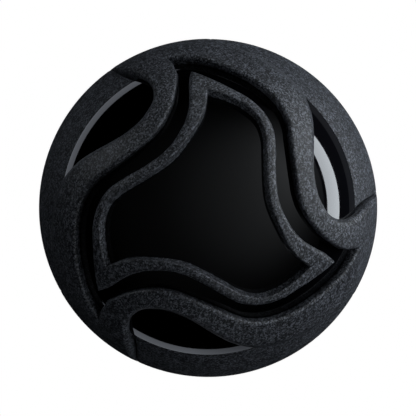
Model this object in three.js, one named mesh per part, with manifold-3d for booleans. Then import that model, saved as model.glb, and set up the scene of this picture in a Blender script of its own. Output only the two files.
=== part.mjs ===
// Case opening friction ball: a glossy hollow core of two shells, gripped all round by rubber ribs.
// Millimetres. +Z is the front pole, the origin is the centre of the ball, and both faces have
// three-fold symmetry. The rear face is the front face turned half a turn about an axis in the
// equator plane, so each moulding serves both faces.
// A place on the ball is [azimuth, polar angle] in degrees: azimuth from +X towards +Y, polar
// angle down from the pole of its own face.
import * as THREE from "three";
import { mergeVertices } from "three/addons/utils/BufferGeometryUtils.js";
import Module from "manifold-3d";

const wasm = await Module();
wasm.setup();

// Driving dimensions.
const BALL_RADIUS = 35; // over the rubber ribs
const CORE_RADIUS = 33.15; // glossy surface, 1.85 below the rib tops
const POLE_RELIEF = 1.3; // how far the core is flattened at each pole
const POLE_RELIEF_ANGLE = 38; // polar angle where the flattening has died out
const BELT_ANGLE = 64.3; // polar angle of the belt's edge circles
const BELT_CROWN = 1.5; // power of the belt's crowned outline: 1 is a cone, 2 is nearly round
const RECESS_RADIUS = 31.6; // floor of the recess that holds belt and rib feet
const CAVITY_RADIUS = 28.4;
const GAP = 0.3; // between pieces that touch
const SHOULDER = 1.0; // rounding of the grip web's top edges
const TURN_AXIS = 47.4; // azimuth of the half-turn axis that maps front to rear
const BELT_INSET = 0.6; // degrees the belt's edge circles lie inside the shells' edges
const BELT_SINK = 0.03; // the belt's edge lies this much below the core surface
const RING_HEIGHT = 1.85; // top of the trefoil ring above the core surface
const ROUND = 36; // flats around each turned surface
const PEG_SIDES = 8;
const SMALLEST_PAD = 100; // mm3; less than this is a sliver left by a cut
const SECTORS = [0, 120, 240];

// Cutting solids start inside the shell wall and end outside the ball.
const CUT_FROM = 27.3;
const CUT_TO = 42;
const OVERRUN = 1; // how far a cut runs past the parting plane

// Hardware sits at [distance from the ball's axis, azimuth on the rear face].
const SCREW = {
  at: [23.4, 41],
  shank: 0.95,
  shankRoom: 0.35,
  head: 1.85,
  headRoom: 0.25,
  headLength: 1.6,
  headLift: 0.05,
  length: 8.4,
  seat: 4.4,
  socket: 0.75,
  socketDepth: 1,
};
const INSERT = { outer: 1.6, bore: 1.25, length: 4.2, base: 0.4, sideRoom: 0.2, endRoom: 0.8 };
const DOWEL = { at: [23.4, 101], radius: 1.25, length: 10, sideRoom: 0.25, endRoom: 0.3 };
const BOSS_RADIUS = 3.2;
const SEAL = { ring: 30, section: 0.65, grooveHalf: 0.85, grooveDepth: 0.8 };
const WEB_PEG = { radius: 1.5, at: [[70, 58.5], [-10.5, 50]] };
const RING_PEG = { radius: 0.7, at: [[92.8, 46.8], [10, 22.8]] };
const PEG_DEPTH = 2.4; // below the core surface
const WEB_PEG_TOP = 34.2;
const RING_PEG_TOP = 33.85;

// One third of each outline on the front face. The web is bounded inside by a line from one
// notch to the next, and outside by a line that rounds an open window and runs out over the
// equator at both ends.
const WEB_INNER = [
  [105.3, 65.5], [97, 62], [88, 57.4], [78, 53.6], [66, 50], [56, 46.6], [48, 42.8],
  [40, 37.8], [31, 34.2], [20, 31.9], [9, 31.3], [-1, 33], [-8.5, 37], [-13.2, 42],
  [-15.8, 48], [-16.6, 54], [-16.2, 60], [-14.7, 65.5],
];
const WEB_OUTER = [
  [92, 100], [90.3, 90], [88, 79.5], [80, 71], [70, 65.7], [60, 61.8], [52, 58.7], [46, 55.1],
  [40, 50.7], [33, 45.4], [26, 41.4], [19, 39], [12, 38.2], [6, 38.7], [1, 40.4], [-2.8, 42.6],
  [-5, 45.6], [-5.9, 49.5], [-5.3, 53.5], [-3.4, 59], [0, 66.8], [2.4, 74], [4.5, 90], [5, 100],
];
// The trefoil ring runs between two three-cornered lines and is widest at its corners.
const RING_INNER = [
  [90, 42.4], [80, 40.6], [70, 38.8], [60, 36.2], [52, 32.1], [44, 27.5], [35, 24.1], [25, 21.9],
  [12, 20.7], [0, 21.3], [-10, 23.3], [-19, 26.8], [-25.5, 31.1], [-28.5, 35.5], [-30, 42.4],
];
const RING_OUTER = [
  [97.3, 53.8], [90, 49.6], [80, 45.5], [70, 43.2], [60, 40.5], [50, 36.6], [40, 31.1],
  [30, 27.1], [20, 25.1], [10, 24.4], [0, 25.3], [-8, 27.6], [-15, 31.4], [-18.7, 36],
  [-20.3, 41.3], [-21.2, 48], [-22.7, 53.8],
];

const rad = THREE.MathUtils.degToRad;

function direction([azimuth, polar]) {
  return new THREE.Vector3(
    Math.sin(rad(polar)) * Math.cos(rad(azimuth)),
    Math.sin(rad(polar)) * Math.sin(rad(azimuth)),
    Math.cos(rad(polar)),
  );
}

// A smooth line through places on the ball, as unit vectors.
function smoothLine(places, steps) {
  const curve = new THREE.CatmullRomCurve3(places.map(direction), false, "centripetal");
  return curve.getSpacedPoints(steps).map((p) => p.normalize());
}

function aroundPole(line, azimuth) {
  const axis = new THREE.Vector3(0, 0, 1);
  return line.map((p) => p.clone().applyAxisAngle(axis, rad(azimuth)));
}

// The closed outline made of three turned copies of a line, without doubled corners.
function threefold(line, shareEnds) {
  const third = shareEnds ? line.slice(0, -1) : line;
  return [0, -120, -240].flatMap((a) => aroundPole(third, a));
}

// Solids and booleans.
function solidOf(geometry) {
  geometry.deleteAttribute("normal");
  geometry.deleteAttribute("uv");
  const merged = mergeVertices(geometry, 1e-4);
  const mesh = new wasm.Mesh({
    numProp: 3,
    vertProperties: merged.attributes.position.array,
    triVerts: new Uint32Array(merged.index.array),
  });
  return new wasm.Manifold(mesh);
}

function geometryOf(solid) {
  const { vertProperties, triVerts } = solid.getMesh();
  const geometry = new THREE.BufferGeometry();
  geometry.setAttribute("position", new THREE.BufferAttribute(vertProperties, 3));
  geometry.setIndex(new THREE.BufferAttribute(triVerts, 1));
  return geometry;
}

function closedMesh(vertices, triangles) {
  const geometry = new THREE.BufferGeometry();
  const numbers = vertices.flatMap((v) => v.toArray());
  geometry.setAttribute("position", new THREE.Float32BufferAttribute(numbers, 3));
  geometry.setIndex(triangles.flat());
  return geometry;
}

function sphere(radius, around, upright) {
  return solidOf(new THREE.SphereGeometry(radius, around, upright).rotateX(Math.PI / 2));
}

// Lathe about Z of a profile of [radius, z] points.
function turned(profile, segments) {
  const points = profile.map(([r, z]) => new THREE.Vector2(r, z));
  return solidOf(new THREE.LatheGeometry(points, segments).rotateX(Math.PI / 2));
}

function rod(radius, z0, z1, sides = 12) {
  const geometry = new THREE.CylinderGeometry(radius, radius, z1 - z0, sides);
  return solidOf(geometry.rotateX(Math.PI / 2).translate(0, 0, (z0 + z1) / 2));
}

// A rod along a radius of the ball.
function radialRod(place, radius, r0, r1) {
  const up = new THREE.Vector3(0, 0, 1);
  const turn = new THREE.Quaternion().setFromUnitVectors(up, direction(place));
  const geometry = new THREE.CylinderGeometry(radius, radius, r1 - r0, PEG_SIDES);
  geometry.rotateX(Math.PI / 2).translate(0, 0, (r0 + r1) / 2).applyQuaternion(turn);
  return solidOf(geometry);
}

function placedAt(solid, [radius, azimuth], turn) {
  const a = rad(azimuth + turn);
  return solid.translate([radius * Math.cos(a), radius * Math.sin(a), 0]);
}

// Half a turn about the equatorial axis, which maps the front face to the rear face.
const toRear = new THREE.Matrix4().makeRotationAxis(direction([TURN_AXIS, 90]), Math.PI);

function rearOf(solid) {
  return solidOf(geometryOf(solid).applyMatrix4(toRear));
}

// The point that lies `inset` further in than point i of a closed outline, along the sphere.
function insetPoint(outline, i, inset) {
  const p = outline[i];
  const before = outline[(i + outline.length - 1) % outline.length];
  const after = outline[(i + 1) % outline.length];
  const inA = p.clone().sub(before).cross(p).normalize();
  const inB = after.clone().sub(p).cross(p).normalize();
  const inward = inA.add(inB).normalize();
  const sharpestMitre = 0.5;
  const corner = Math.max(sharpestMitre, Math.abs(inward.dot(inB)));
  return p.clone().addScaledVector(inward, -inset / BALL_RADIUS / corner).normalize();
}

// A solid whose sides are radii of the ball: the region between a contour and a hole around the
// pole, or inside the contour alone, from the first layer's radius to the last one's.
function radialPrism(contour, hole, layers) {
  const chart = (p) => new THREE.Vector2(p.x / (1 + p.z), p.y / (1 + p.z));
  const loops = hole ? [contour, hole] : [contour];
  const flat = loops.map((loop) => loop.map(chart));
  const ordered = loops.map((loop, k) => {
    const turnsLeft = THREE.ShapeUtils.area(flat[k]) > 0;
    return turnsLeft === (k === 0) ? loop : [...loop].reverse();
  });
  const [rim, ...holes] = ordered.map((loop) => loop.map(chart));
  const caps = THREE.ShapeUtils.triangulateShape(rim, holes);
  const count = ordered.reduce((n, loop) => n + loop.length, 0);
  const vertices = [];
  for (const [radius, inset] of layers) {
    for (const loop of ordered) {
      loop.forEach((_, i) => vertices.push(insetPoint(loop, i, inset).multiplyScalar(radius)));
    }
  }
  const triangles = [];
  const top = count * (layers.length - 1);
  for (const [a, b, c] of caps) {
    triangles.push([a, c, b], [top + a, top + b, top + c]);
  }
  for (let layer = 0; layer < layers.length - 1; layer++) {
    let start = layer * count;
    for (const loop of ordered) {
      for (let i = 0; i < loop.length; i++) {
        const a = start + i;
        const b = start + ((i + 1) % loop.length);
        triangles.push([a, b, b + count], [a, b + count, a + count]);
      }
      start += loop.length;
    }
  }
  return solidOf(closedMesh(vertices, triangles));
}

// The core's outer surface: a sphere with flattened poles and a recess around the equator.
function coreRadius(polar) {
  const fade = Math.min(1, polar / POLE_RELIEF_ANGLE);
  return CORE_RADIUS - (POLE_RELIEF * (1 + Math.cos(Math.PI * fade))) / 2;
}

function coreProfile(grow) {
  const steps = 9;
  const onRadius = (r, polar) => [r * Math.sin(rad(polar)), r * Math.cos(rad(polar))];
  const points = [];
  for (let i = 0; i <= steps; i++) {
    const polar = (BELT_ANGLE * i) / steps;
    points.push(onRadius(coreRadius(polar) + grow, polar));
  }
  points[0][0] = 0;
  const recessSteps = 3;
  for (let i = 0; i <= recessSteps; i++) {
    const polar = BELT_ANGLE + ((90 - BELT_ANGLE) * i) / recessSteps;
    points.push(onRadius(RECESS_RADIUS + grow, polar));
  }
  return points;
}

// The whole core as one solid, grown by `grow`.
function coreEnvelope(grow) {
  const front = coreProfile(grow);
  const rear = front.slice(0, -1).reverse().map(([r, z]) => [r, -z]);
  return turned([...front, ...rear].reverse(), ROUND);
}

// Everything above the plane z, as a block larger than the ball.
const slabAbove = (z) => solidOf(new THREE.BoxGeometry(100, 100, 50).translate(0, 0, z + 25));

const toFrontAzimuth = ([radius, azimuth]) => [radius, 2 * TURN_AXIS - azimuth];

// One core shell with its bosses, bores, peg holes and half of the seal groove. The rear shell is
// made with its face up and then turned over.
function coreShell({ front }) {
  const boss = rod(BOSS_RADIUS, -OVERRUN, CUT_TO, 14);
  const insertTop = INSERT.base + INSERT.length + INSERT.endRoom;
  const insertBore = rod(INSERT.outer + INSERT.sideRoom, -OVERRUN, insertTop);
  const shankBore = rod(SCREW.shank + SCREW.shankRoom, -OVERRUN, CUT_TO);
  const headBore = rod(SCREW.head + SCREW.headRoom, SCREW.seat, CUT_TO);
  const screwBore = front ? insertBore : shankBore.add(headBore);
  const dowelTop = DOWEL.length / 2 + DOWEL.endRoom;
  const dowelBore = rod(DOWEL.radius + DOWEL.sideRoom, -OVERRUN, dowelTop);
  const posts = [];
  const bores = [];
  for (const sector of SECTORS) {
    for (const [at, bore] of [[SCREW.at, screwBore], [DOWEL.at, dowelBore]]) {
      const place = front ? toFrontAzimuth(at) : at;
      const turn = front ? -sector : sector;
      posts.push(placedAt(boss, place, turn));
      bores.push(placedAt(bore, place, turn));
    }
    for (const { radius, at } of [WEB_PEG, RING_PEG]) {
      for (const [azimuth, polar] of at) {
        const floor = CORE_RADIUS - PEG_DEPTH - GAP;
        bores.push(radialRod([azimuth + sector, polar], radius + GAP, floor, CUT_TO));
      }
    }
  }
  const outer = coreEnvelope(0).intersect(slabAbove(GAP / 2));
  const cavity = sphere(CAVITY_RADIUS, 28, 14);
  const grooveInside = SEAL.ring - SEAL.grooveHalf;
  const grooveOutside = SEAL.ring + SEAL.grooveHalf;
  const groove = turned(
    [
      [grooveInside, -OVERRUN],
      [grooveOutside, -OVERRUN],
      [grooveOutside, SEAL.grooveDepth],
      [grooveInside, SEAL.grooveDepth],
      [grooveInside, -OVERRUN],
    ],
    ROUND,
  );
  const filled = posts.reduce((body, post) => body.add(post.intersect(outer)), outer.subtract(cavity));
  const shell = bores.reduce((body, bore) => body.subtract(bore), filled).subtract(groove);
  return front ? shell : rearOf(shell);
}

// The outline of the whole web, inside and outside, and the solid it bounds through `layers`.
function webPrism(layers) {
  const inner = threefold(smoothLine(WEB_INNER, 21), true);
  const outer = threefold(smoothLine(WEB_OUTER, 27), false);
  return radialPrism(outer, inner, layers);
}

// The rubber web of one face: three S-shaped ribs that meet over the equator.
function gripWeb() {
  const midArc = SHOULDER * (1 - Math.SQRT1_2);
  const layers = [
    [CUT_FROM, 0],
    [BALL_RADIUS - SHOULDER, 0],
    [BALL_RADIUS - midArc, midArc],
    [BALL_RADIUS, SHOULDER],
    [CUT_TO, SHOULDER],
  ];
  let web = webPrism(layers).intersect(sphere(BALL_RADIUS, 42, 20));
  web = web.subtract(coreEnvelope(GAP)).intersect(slabAbove(GAP / 2));
  for (const sector of SECTORS) {
    for (const [azimuth, polar] of WEB_PEG.at) {
      const place = [azimuth + sector, polar];
      web = web.add(radialRod(place, WEB_PEG.radius, CORE_RADIUS - PEG_DEPTH, WEB_PEG_TOP));
    }
  }
  return web;
}

// The trefoil ring: a rib between its two lines, with a crisp inner edge, a flat top and a rounded
// outer flank, mitred at the corners.
function trefoilRing() {
  // How far across the ring, and how high above the core, along one section.
  const section = [
    [0, GAP], [0, 0.8 * RING_HEIGHT], [0.04, 0.95 * RING_HEIGHT], [0.12, RING_HEIGHT],
    [0.55, RING_HEIGHT], [0.78, 0.91 * RING_HEIGHT], [0.93, 0.7 * RING_HEIGHT],
    [1, 0.42 * RING_HEIGHT], [1, GAP],
  ];
  const inner = threefold(smoothLine(RING_INNER, 22), true);
  const outer = threefold(smoothLine(RING_OUTER, 22), true);
  const pole = new THREE.Vector3(0, 0, 1);
  const vertices = [];
  inner.forEach((p, i) => {
    for (const [across, height] of section) {
      const point = p.clone().lerp(outer[i], across).normalize();
      const polar = THREE.MathUtils.radToDeg(point.angleTo(pole));
      const seated = coreRadius(polar) + GAP;
      vertices.push(point.multiplyScalar(height === GAP ? seated : CORE_RADIUS + height));
    }
  });
  const triangles = [];
  const n = section.length;
  inner.forEach((_, i) => {
    const next = (i + 1) % inner.length;
    section.forEach((__, k) => {
      const l = (k + 1) % n;
      triangles.push([i * n + k, next * n + k, next * n + l], [i * n + k, next * n + l, i * n + l]);
    });
  });
  let ring = solidOf(closedMesh(vertices, triangles));
  for (const sector of SECTORS) {
    for (const [azimuth, polar] of RING_PEG.at) {
      const place = [azimuth + sector, polar];
      const bottom = CORE_RADIUS - PEG_DEPTH;
      ring = ring.add(radialRod(place, RING_PEG.radius, bottom, RING_PEG_TOP));
    }
  }
  return ring;
}

// The textured belt around the equator, cut by the ribs into three pads.
function beltPads() {
  const edge = BELT_ANGLE + BELT_INSET;
  const edgeRadius = CORE_RADIUS - BELT_SINK;
  const edgeZ = edgeRadius * Math.cos(rad(edge));
  const edgeFall = BALL_RADIUS - edgeRadius * Math.sin(rad(edge));
  const floor = RECESS_RADIUS + GAP;
  const outside = [];
  const steps = 10;
  for (let i = 0; i <= steps; i++) {
    const z = edgeZ * (1 - (2 * i) / steps);
    outside.push([BALL_RADIUS - edgeFall * Math.pow(Math.abs(z) / edgeZ, BELT_CROWN), z]);
  }
  const inside = [];
  const insideSteps = 6;
  for (let i = 0; i <= insideSteps; i++) {
    const polar = 180 - edge - ((180 - 2 * edge) * i) / insideSteps;
    inside.push([floor * Math.sin(rad(polar)), floor * Math.cos(rad(polar))]);
  }
  const ring = turned([...outside, ...inside, outside[0]].reverse(), ROUND);
  const zone = webPrism([[CUT_FROM, -GAP], [CUT_TO, -GAP]]).intersect(slabAbove(-GAP / 2));
  const pads = ring.subtract(zone).subtract(rearOf(zone)).decompose();
  return pads.filter((pad) => pad.volume() > SMALLEST_PAD);
}

function screw() {
  const headTop = SCREW.seat + SCREW.headLength;
  const head = rod(SCREW.head, SCREW.seat + SCREW.headLift, headTop);
  const shank = rod(SCREW.shank, SCREW.seat - SCREW.length, headTop - SCREW.socketDepth);
  const socket = rod(SCREW.socket, headTop - SCREW.socketDepth, headTop + OVERRUN, 6);
  return shank.add(head).subtract(socket);
}

function insert() {
  const body = rod(INSERT.outer, INSERT.base, INSERT.base + INSERT.length);
  return body.subtract(rod(INSERT.bore, 0, INSERT.base + INSERT.length + OVERRUN));
}

const dowel = () => rod(DOWEL.radius, -DOWEL.length / 2, DOWEL.length / 2);

function sealRing() {
  const profile = [];
  const sides = 6;
  for (let i = 0; i < sides; i++) {
    const a = (2 * Math.PI * i) / sides;
    profile.push([SEAL.ring + SEAL.section * Math.cos(a), SEAL.section * Math.sin(a)]);
  }
  return turned([...profile, profile[0]], ROUND);
}

const finish = {
  core: { color: 0x0b0b0d, roughness: 0.08, metalness: 0 },
  rubber: { color: 0x3a3b3f, roughness: 0.85, metalness: 0 },
  steel: { color: 0xb8babd, roughness: 0.35, metalness: 1 },
  brass: { color: 0xb08a3c, roughness: 0.4, metalness: 1 },
  seal: { color: 0x151515, roughness: 0.7, metalness: 0 },
};

const ball = new THREE.Group();

function addPiece(name, solid, look) {
  const mesh = new THREE.Mesh(geometryOf(solid), new THREE.MeshStandardMaterial(finish[look]));
  mesh.name = name;
  ball.add(mesh);
}

addPiece("front_core_shell", coreShell({ front: true }), "core");
addPiece("rear_core_shell", coreShell({ front: false }), "core");
const web = gripWeb();
addPiece("front_grip_web", web, "rubber");
addPiece("rear_grip_web", rearOf(web), "rubber");
const ring = trefoilRing();
addPiece("front_trefoil_ring", ring, "rubber");
addPiece("rear_trefoil_ring", rearOf(ring), "rubber");
beltPads().forEach((pad, i) => addPiece(`belt_pad_${i + 1}`, pad, "rubber"));
SECTORS.forEach((sector, i) => {
  const screwPlace = toFrontAzimuth(SCREW.at);
  addPiece(`shell_screw_${i + 1}`, placedAt(rearOf(screw()), screwPlace, sector), "steel");
  addPiece(`threaded_insert_${i + 1}`, placedAt(insert(), screwPlace, sector), "brass");
});
SECTORS.forEach((sector, i) => {
  addPiece(`dowel_pin_${i + 1}`, placedAt(dowel(), toFrontAzimuth(DOWEL.at), sector), "steel");
});
addPiece("seal_ring", sealRing(), "seal");

export default ball;
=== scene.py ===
# Case opening friction ball: a glossy black hollow core gripped by textured rubber ribs.
# The rear face is the front face turned half a turn about an axis in the equator plane.
import math

import bmesh
import bpy
import numpy as np
from mathutils import Matrix, Vector
from mathutils.geometry import delaunay_2d_cdt


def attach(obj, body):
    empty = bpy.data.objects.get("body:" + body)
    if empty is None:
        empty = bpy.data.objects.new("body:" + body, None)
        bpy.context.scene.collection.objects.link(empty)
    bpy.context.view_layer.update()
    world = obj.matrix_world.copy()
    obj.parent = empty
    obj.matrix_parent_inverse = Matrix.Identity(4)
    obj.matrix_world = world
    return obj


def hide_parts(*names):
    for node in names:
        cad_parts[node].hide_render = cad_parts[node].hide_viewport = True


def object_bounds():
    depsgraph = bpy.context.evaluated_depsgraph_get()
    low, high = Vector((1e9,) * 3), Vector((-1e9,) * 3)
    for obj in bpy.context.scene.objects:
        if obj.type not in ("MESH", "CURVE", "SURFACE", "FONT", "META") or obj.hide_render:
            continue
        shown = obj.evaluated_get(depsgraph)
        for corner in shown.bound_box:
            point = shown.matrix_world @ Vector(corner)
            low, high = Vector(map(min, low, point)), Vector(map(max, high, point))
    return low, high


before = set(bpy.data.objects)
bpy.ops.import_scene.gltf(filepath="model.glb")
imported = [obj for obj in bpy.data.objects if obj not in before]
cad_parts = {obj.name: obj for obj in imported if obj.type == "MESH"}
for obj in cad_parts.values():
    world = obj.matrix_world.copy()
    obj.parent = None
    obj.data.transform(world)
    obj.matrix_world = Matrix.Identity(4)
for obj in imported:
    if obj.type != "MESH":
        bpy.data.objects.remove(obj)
cad_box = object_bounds()
MM = 0.001

# ---------------------------------------------------------------------------------------------
# Camera: straight above the front pole at twenty ball radii, as with a long lens.
BALL_RADIUS = 35 * MM
CAMERA_DISTANCE = 20 * BALL_RADIUS
BALL_FILLS_VIEW = 0.8137

camera_data = bpy.data.cameras.new("camera")
limb = math.asin(BALL_RADIUS / CAMERA_DISTANCE)
camera_data.angle = 2 * math.atan(math.tan(limb) / BALL_FILLS_VIEW)
camera_data.clip_start = 0.01
camera_data.clip_end = 20
camera = bpy.data.objects.new("camera", camera_data)
camera.location = (0, 0, CAMERA_DISTANCE)
bpy.context.scene.collection.objects.link(camera)
bpy.context.scene.camera = camera
bpy.context.scene.view_settings.view_transform = "Standard"


def make_object(name, vertices, faces, smooth=True):
    """A mesh object at the origin, from points in metres and faces by index."""
    mesh = bpy.data.meshes.new(name)
    mesh.from_pydata([tuple(v) for v in vertices], [], [tuple(f) for f in faces])
    mesh.validate()
    mesh.update()
    piece = bpy.data.objects.new(name, mesh)
    bpy.context.scene.collection.objects.link(piece)
    if smooth:
        mesh.shade_smooth()
    return piece


def new_material(name):
    material = bpy.data.materials.new(name)
    material.use_nodes = True
    nodes = material.node_tree.nodes
    nodes.clear()
    shader = nodes.new("ShaderNodeBsdfPrincipled")
    output = nodes.new("ShaderNodeOutputMaterial")
    material.node_tree.links.new(shader.outputs["BSDF"], output.inputs["Surface"])
    return material, nodes, material.node_tree.links, shader


# ---------------------------------------------------------------------------------------------
# The stage: a pale floor, a flat lamp around the ball's foot and a low strip on the right that
# are mirrored in the polished shells, large soft lights for the rubber, and a dim room.
FLOOR_HALF = 3.0
LAMP_INNER = 0.067
LAMP_OUTER = 0.108
LAMP_RADIANCE = 0.8
LAMP_DIM_SIDE = 0.12
LAMP_LIFT = 1 * MM
STRIP_RADIANCE = 7.6
SIDE_RADIANCE = 5.0
SOFT_RADIANCE = 4.5
FLOOR_GAP = 0.05 * MM
floor_height = cad_box[0][2] - FLOOR_GAP

floor = make_object(
    "floor",
    [
        (-FLOOR_HALF, -FLOOR_HALF, floor_height),
        (FLOOR_HALF, -FLOOR_HALF, floor_height),
        (FLOOR_HALF, FLOOR_HALF, floor_height),
        (-FLOOR_HALF, FLOOR_HALF, floor_height),
    ],
    [(0, 1, 2, 3)],
    smooth=False,
)


def pale_floor():
    """White to the camera, and a dull surface to everything else."""
    material, nodes, links, shader = new_material("pale_floor")
    shader.inputs["Base Color"].default_value = (0.05, 0.05, 0.055, 1)
    shader.inputs["Roughness"].default_value = 1.0
    shader.inputs["Specular IOR Level"].default_value = 0.0
    ray = nodes.new("ShaderNodeLightPath")
    shine = nodes.new("ShaderNodeEmission")
    mix = nodes.new("ShaderNodeMixShader")
    links.new(ray.outputs["Is Camera Ray"], mix.inputs["Fac"])
    links.new(shader.outputs[0], mix.inputs[1])
    links.new(shine.outputs[0], mix.inputs[2])
    output = next(n for n in nodes if n.type == "OUTPUT_MATERIAL")
    links.new(mix.outputs[0], output.inputs["Surface"])
    return material


floor.data.materials.append(pale_floor())


def ring_glow():
    """Emission of the flat ring lamp, fading to an eighth towards the right."""
    material, nodes, links, shader = new_material("ring_glow")
    nodes.remove(shader)
    place = nodes.new("ShaderNodeTexCoord")
    sides = nodes.new("ShaderNodeSeparateXYZ")
    links.new(place.outputs["Object"], sides.inputs[0])
    fade = nodes.new("ShaderNodeMapRange")
    fade.inputs["From Min"].default_value = -0.01
    fade.inputs["From Max"].default_value = 0.05
    fade.inputs["To Min"].default_value = LAMP_RADIANCE
    fade.inputs["To Max"].default_value = LAMP_DIM_SIDE * LAMP_RADIANCE
    links.new(sides.outputs["X"], fade.inputs["Value"])
    shine = nodes.new("ShaderNodeEmission")
    shine.inputs["Color"].default_value = (0.82, 0.88, 1.0, 1)
    links.new(fade.outputs["Result"], shine.inputs["Strength"])
    output = next(n for n in nodes if n.type == "OUTPUT_MATERIAL")
    links.new(shine.outputs[0], output.inputs["Surface"])
    return material


def lamp_ring():
    """A flat lamp around the ball's foot, seen only as a reflection in the polished shells."""
    count = 96
    vertices, faces = [], []
    for k in range(count):
        a = 2 * math.pi * k / count
        for radius in (LAMP_INNER, LAMP_OUTER):
            vertices.append((radius * math.cos(a), radius * math.sin(a), floor_height + LAMP_LIFT))
        n = 2 * ((k + 1) % count)
        faces.append((2 * k, 2 * k + 1, n + 1, n))
    lamp = make_object("ring_lamp", vertices, faces, smooth=False)
    lamp.data.materials.append(ring_glow())
    lamp.visible_camera = False
    lamp.visible_diffuse = False
    lamp.visible_shadow = False
    return lamp


lamp = lamp_ring()
polished = bpy.data.collections.new("lit_by_ring_lamp")
lamp.light_linking.receiver_collection = polished


def toward(azimuth, polar, distance=1.0):
    """A point at a distance from the ball's centre, by azimuth and angle from the pole."""
    a, p = math.radians(azimuth), math.radians(polar)
    flat = distance * math.sin(p)
    return Vector((flat * math.cos(a), flat * math.sin(a), distance * math.cos(p)))


def soft_light(name, place, target, width, height, radiance, color):
    """A rectangular light of a given brightness per area, out of the camera's sight."""
    data = bpy.data.lights.new(name, "AREA")
    data.shape = "RECTANGLE"
    data.size = width
    data.size_y = height
    data.energy = radiance * math.pi * width * height
    data.color = color
    light = bpy.data.objects.new(name, data)
    light.location = place
    light.rotation_euler = (Vector(target) - Vector(place)).to_track_quat("-Z", "Y").to_euler()
    light.visible_camera = False
    bpy.context.scene.collection.objects.link(light)
    return light


COOL_WHITE = (0.88, 0.94, 1.0)
STRIP_PLACE = (0.125, 0.085, 0.0015)
STRIP_TARGET = (0, 0.085, 0.0015)
STRIP_WIDTH = 0.2
STRIP_HEIGHT = 0.027
SOFT_DISTANCE = 0.6
SOFT_SIDE = 0.14
strip = soft_light(
    "strip_light", STRIP_PLACE, STRIP_TARGET, STRIP_WIDTH, STRIP_HEIGHT, STRIP_RADIANCE, COOL_WHITE
)
strip.light_linking.receiver_collection = polished
rubber_parts = bpy.data.collections.new("lit_by_soft_lights")


def soft_surround():
    """Equal large lights for the matt rubber: a low row round the back, a high row on the right."""
    lights = [soft_light(
        "side_light", STRIP_PLACE, STRIP_TARGET, STRIP_WIDTH, STRIP_HEIGHT,
        SIDE_RADIANCE, COOL_WHITE,
    )]
    for polar, azimuths in ((80, (30, 90, 150)), (55, (-60, -15, 30))):
        for azimuth in azimuths:
            lights.append(soft_light(
                f"soft_light_{azimuth}_{polar}", toward(azimuth, polar, SOFT_DISTANCE), (0, 0, 0),
                SOFT_SIDE, SOFT_SIDE, SOFT_RADIANCE, COOL_WHITE,
            ))
    for light in lights:
        light.light_linking.receiver_collection = rubber_parts


soft_surround()


def room_glow():
    """A dim room with one broad soft glow from the right and a weaker one higher up.

    The glow is only mirrored; the matt rubber has lights of its own.
    """
    world = bpy.data.worlds.new("room")
    bpy.context.scene.world = world
    world.use_nodes = True
    nodes, links = world.node_tree.nodes, world.node_tree.links
    background = nodes["Background"]
    place = nodes.new("ShaderNodeTexCoord")
    total = None
    side_glow, high_glow, overall = (26, 66, 11, 0.42), (14, 38, 4.5, 0.3), (60, 0, 1, 0.04)
    for azimuth, polar, sharpness, strength in (side_glow, high_glow, overall):
        lobe = nodes.new("ShaderNodeVectorMath")
        lobe.operation = "DOT_PRODUCT"
        lobe.inputs[1].default_value = toward(azimuth, polar)
        links.new(place.outputs["Generated"], lobe.inputs[0])
        lit = nodes.new("ShaderNodeMath")
        lit.operation = "MAXIMUM"
        lit.inputs[1].default_value = 0.0
        links.new(lobe.outputs["Value"], lit.inputs[0])
        shaped = nodes.new("ShaderNodeMath")
        shaped.operation = "POWER"
        shaped.inputs[1].default_value = sharpness
        links.new(lit.outputs[0], shaped.inputs[0])
        scaled = nodes.new("ShaderNodeMath")
        scaled.operation = "MULTIPLY_ADD"
        scaled.inputs[1].default_value = strength
        scaled.inputs[2].default_value = 0.0
        links.new(shaped.outputs[0], scaled.inputs[0])
        if total is not None:
            links.new(total.outputs[0], scaled.inputs[2])
        total = scaled
    ray = nodes.new("ShaderNodeLightPath")
    seen = nodes.new("ShaderNodeMix")
    seen.data_type = "FLOAT"
    seen.inputs["B"].default_value = 0.9
    links.new(ray.outputs["Is Camera Ray"], seen.inputs["Factor"])
    links.new(total.outputs[0], seen.inputs["A"])
    background.inputs["Color"].default_value = (0.9, 0.95, 1.0, 1)
    links.new(seen.outputs["Result"], background.inputs["Strength"])
    world.cycles_visibility.diffuse = False


room_glow()

# ---------------------------------------------------------------------------------------------
# Core shells: two half spheres moulded in polished black plastic, flattened a little at the
# poles, with a recess around the equator for the belt and the feet of the ribs.
CORE_RADIUS = 33.15 * MM
POLE_RELIEF = 1.3 * MM
POLE_RELIEF_ANGLE = 38
BELT_ANGLE = 64.3
LIP_START = 0.25
LIP_MIDDLE = 0.12
LIP_DROP = 0.12 * MM
RECESS_RADIUS = 31.6 * MM
CAVITY_RADIUS = 28.4 * MM
PARTING = 0.04 * MM
TURN_AXIS = 47.4
SECTORS = (0, 120, 240)

half_turn = Matrix.Rotation(
    math.pi, 4, (math.cos(math.radians(TURN_AXIS)), math.sin(math.radians(TURN_AXIS)), 0)
)


def rear_copy(piece, name):
    """The same moulding on the rear face."""
    mesh = piece.data.copy()
    mesh.transform(half_turn)
    mesh.name = name
    copy = bpy.data.objects.new(name, mesh)
    bpy.context.scene.collection.objects.link(copy)
    return copy


def core_radius(polar):
    """Radius of the glossy surface at a polar angle."""
    fade = np.minimum(1, np.asarray(polar) / POLE_RELIEF_ANGLE)
    return CORE_RADIUS - POLE_RELIEF * (1 + np.cos(math.pi * fade)) / 2


def arc(radius, start, end, count):
    angles = np.radians(np.linspace(start, end, count))
    return [(radius * math.sin(a), radius * math.cos(a)) for a in angles]


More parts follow.
